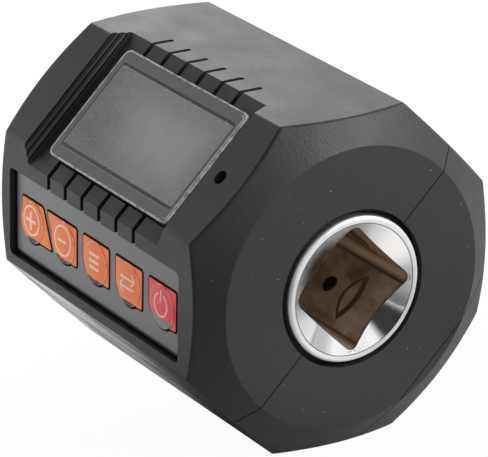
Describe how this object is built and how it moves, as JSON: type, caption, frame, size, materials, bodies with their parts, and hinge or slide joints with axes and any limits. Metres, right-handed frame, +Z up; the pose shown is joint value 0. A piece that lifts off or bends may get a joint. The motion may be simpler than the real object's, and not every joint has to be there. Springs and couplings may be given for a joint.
{
  "type": "digital torque adapter",
  "caption": "Battery-powered digital torque adapter: an eight-sided housing with a display and keypad round a shaft with a square socket and a square plug.",
  "frame": {"origin": "centre of the square socket's rim face, on the drive axis", "axes": "+Y along the drive axis from the socket to the plug, +Z up and square to the plain top facet, +X to the right seen from the socket end"},
  "size_m": [0.046, 0.0712, 0.046],
  "materials": {
    "housing_plastic": "fine textured black moulding",
    "shaft_steel": "polished chrome plate, dark oil-brown inside the socket",
    "bush_plastic": "black bearing plastic",
    "ball_steel": "polished hardened steel",
    "spring_steel": "drawn spring wire",
    "screw_steel": "black oxide",
    "window_plastic": "clear window with a grey printed border",
    "seal_rubber": "soft black rubber",
    "frame_plastic": "white reflector moulding",
    "lcd_glass": "liquid crystal glass",
    "zebra_rubber": "layered elastomer strip",
    "board_laminate": "green solder mask",
    "chip_plastic": "moulded chip bodies with tinned legs",
    "gauge_foil": "copper-brown foil on film",
    "overlay_film": "satin grey keypad face",
    "key_orange": "orange embossed key with a white sign",
    "key_red": "red embossed key with a white sign",
    "dome_steel": "stamped snap domes",
    "cell_sleeve": "plain shrink sleeve on steel",
    "contact_nickel": "nickel-plated strip",
    "lead_insulation": "insulated wire"
  },
  "bodies": {
    "housing": {"display_shell": "housing_plastic", "battery_shell": "housing_plastic", "shell_screws": "screw_steel", "drive_shaft": "shaft_steel", "front_bush": "bush_plastic", "rear_bush": "bush_plastic", "detent_spring": "spring_steel", "strain_gauges": "gauge_foil", "gauge_ribbon": "gauge_foil", "display_window": "window_plastic", "window_gasket": "seal_rubber", "lcd_frame": "frame_plastic", "lcd_glass": "lcd_glass", "backlight": "frame_plastic", "lcd_connector": "zebra_rubber", "main_board": "board_laminate", "board_chips": "chip_plastic", "board_screws": "screw_steel", "buzzer": "chip_plastic", "keypad_overlay": "overlay_film", "keypad_gasket": "seal_rubber", "key_board": "board_laminate", "snap_domes": "dome_steel", "key_ribbon": "gauge_foil", "battery_left": "cell_sleeve", "battery_right": "cell_sleeve", "battery_springs": "spring_steel", "battery_contacts": "contact_nickel", "battery_leads": "lead_insulation"},
    "cover": {"battery_cover": "housing_plastic", "cover_screw": "screw_steel"},
    "ball": {"detent_ball": "ball_steel"},
    "plus_key": {"key_plus": "key_orange"},
    "minus_key": {"key_minus": "key_orange"},
    "mode_key": {"key_mode": "key_orange"},
    "unit_key": {"key_unit": "key_orange"},
    "power_key": {"key_power": "key_red"}
  },
  "joints": [
    {"name": "cover_lift", "type": "slide", "parent": "housing", "child": "cover", "axis": [0.7071, 0, -0.7071], "range_m": [0, 0.02]},
    {"name": "ball_press", "type": "slide", "parent": "housing", "child": "ball", "axis": [0.7071, 0, -0.7071], "range_m": [0, 0.00105], "stiffness_N_per_m": 3000, "deforming": ["detent_spring"]},
    {"name": "plus_press", "type": "slide", "parent": "housing", "child": "plus_key", "axis": [1, 0, 0], "range_m": [0, 0.00035], "stiffness_N_per_m": 1500, "deforming": ["snap_domes"]},
    {"name": "minus_press", "type": "slide", "parent": "housing", "child": "minus_key", "axis": [1, 0, 0], "range_m": [0, 0.00035], "stiffness_N_per_m": 1500},
    {"name": "mode_press", "type": "slide", "parent": "housing", "child": "mode_key", "axis": [1, 0, 0], "range_m": [0, 0.00035], "stiffness_N_per_m": 1500},
    {"name": "unit_press", "type": "slide", "parent": "housing", "child": "unit_key", "axis": [1, 0, 0], "range_m": [0, 0.00035], "stiffness_N_per_m": 1500},
    {"name": "power_press", "type": "slide", "parent": "housing", "child": "power_key", "axis": [1, 0, 0], "range_m": [0, 0.00035], "stiffness_N_per_m": 1500}
  ]
}
